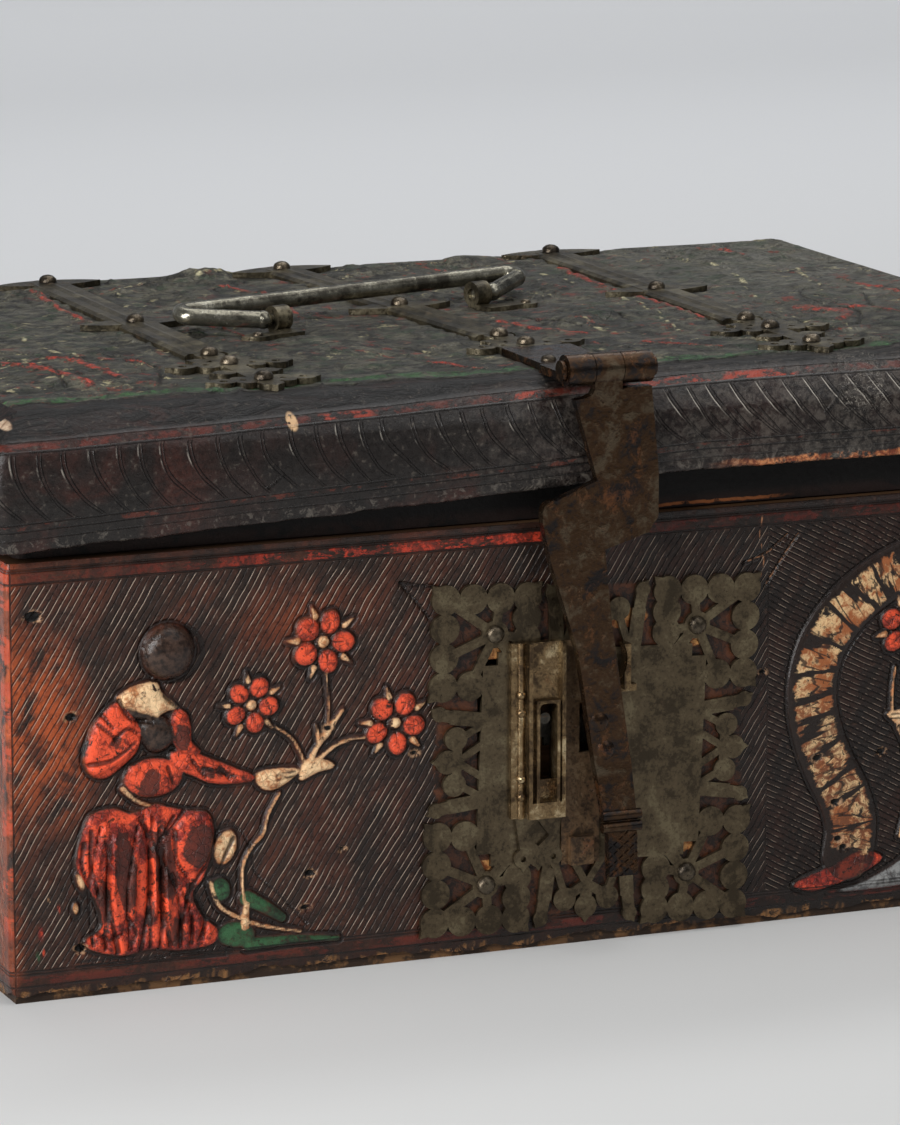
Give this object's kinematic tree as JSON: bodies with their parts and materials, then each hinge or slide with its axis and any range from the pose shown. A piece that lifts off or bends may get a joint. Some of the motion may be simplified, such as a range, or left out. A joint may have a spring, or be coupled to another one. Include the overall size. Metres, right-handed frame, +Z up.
{
  "type": "leather covered casket",
  "caption": "Oblong wooden casket covered in tooled, painted leather, with a moulded hinged lid, pierced iron mounts, a swinging hasp over a lock plate and a bail handle",
  "frame": {"origin": "bottom centre of the case, on the face that rests on the table", "axes": "+X along the front to the right, +Y from the front to the back, +Z up"},
  "size_m": [0.3192, 0.2271, 0.1572],
  "materials": {
    "oak": "rough sawn, darkened",
    "peg_wood": "rough",
    "painted_leather": "tooled and painted, worn satin",
    "iron_plate": "wrought, dull grey",
    "iron_bed": "wrought, rusty",
    "iron_strap": "wrought, blackened",
    "iron_hasp": "wrought, brown patina",
    "iron_handle": "wrought, hand-polished",
    "iron_nail": "forged heads, slightly polished",
    "iron_lock": "forged, brown"
  },
  "bodies": {
    "case": {"front_board": "oak", "back_board": "oak", "left_board": "oak", "right_board": "oak", "bottom_board": "oak", "case_pegs": "peg_wood", "leather_front": "painted_leather", "leather_back": "painted_leather", "leather_left": "painted_leather", "leather_right": "painted_leather", "lock_plate": "iron_plate", "plate_nails": "iron_nail", "keyhole_housing": "iron_plate", "beaded_strip": "iron_plate", "key_pin": "iron_lock", "pendant": "iron_plate", "hasp_bed": "iron_bed", "guide_lug": "iron_plate", "bolt_guide": "iron_lock", "lock_spring": "iron_lock", "spring_post": "iron_lock", "hinge_case_leaves": "iron_strap", "hinge_pins": "iron_nail", "hinge_case_nails": "iron_nail"},
    "lid": {"lid_panel": "oak", "lid_rail_front": "oak", "lid_rail_back": "oak", "lid_rail_left": "oak", "lid_rail_right": "oak", "lid_leather": "painted_leather", "strap_left": "iron_strap", "strap_middle": "iron_strap", "strap_right": "iron_strap", "strap_nails": "iron_nail", "hasp_bracket": "iron_strap", "hasp_pin": "iron_nail", "handle_staples": "iron_strap", "hinge_lid_leaves": "iron_strap", "hinge_lid_nails": "iron_nail"},
    "hasp": {"hasp_plate": "iron_hasp", "hasp_staple": "iron_hasp"},
    "handle": {"handle": "iron_handle"},
    "bolt": {"lock_bolt": "iron_lock"}
  },
  "joints": [
    {"name": "lid_hinge", "type": "hinge", "parent": "case", "child": "lid", "pos_m": [0, 0.1095, 0.113], "axis": [-1, 0, 0], "range_deg": [0, 105]},
    {"name": "hasp_hinge", "type": "hinge", "parent": "lid", "child": "hasp", "pos_m": [0.0043, -0.1094, 0.1522], "axis": [-1, 0, 0], "range_deg": [-3.2, 160]},
    {"name": "handle_hinge", "type": "hinge", "parent": "lid", "child": "handle", "pos_m": [-0.015, 0.002, 0.153], "axis": [0.9613, 0.2756, 0], "range_deg": [0, 165]},
    {"name": "bolt_slide", "type": "slide", "parent": "case", "child": "bolt", "axis": [-1, 0, 0], "range_m": [0, 0.007]}
  ]
}
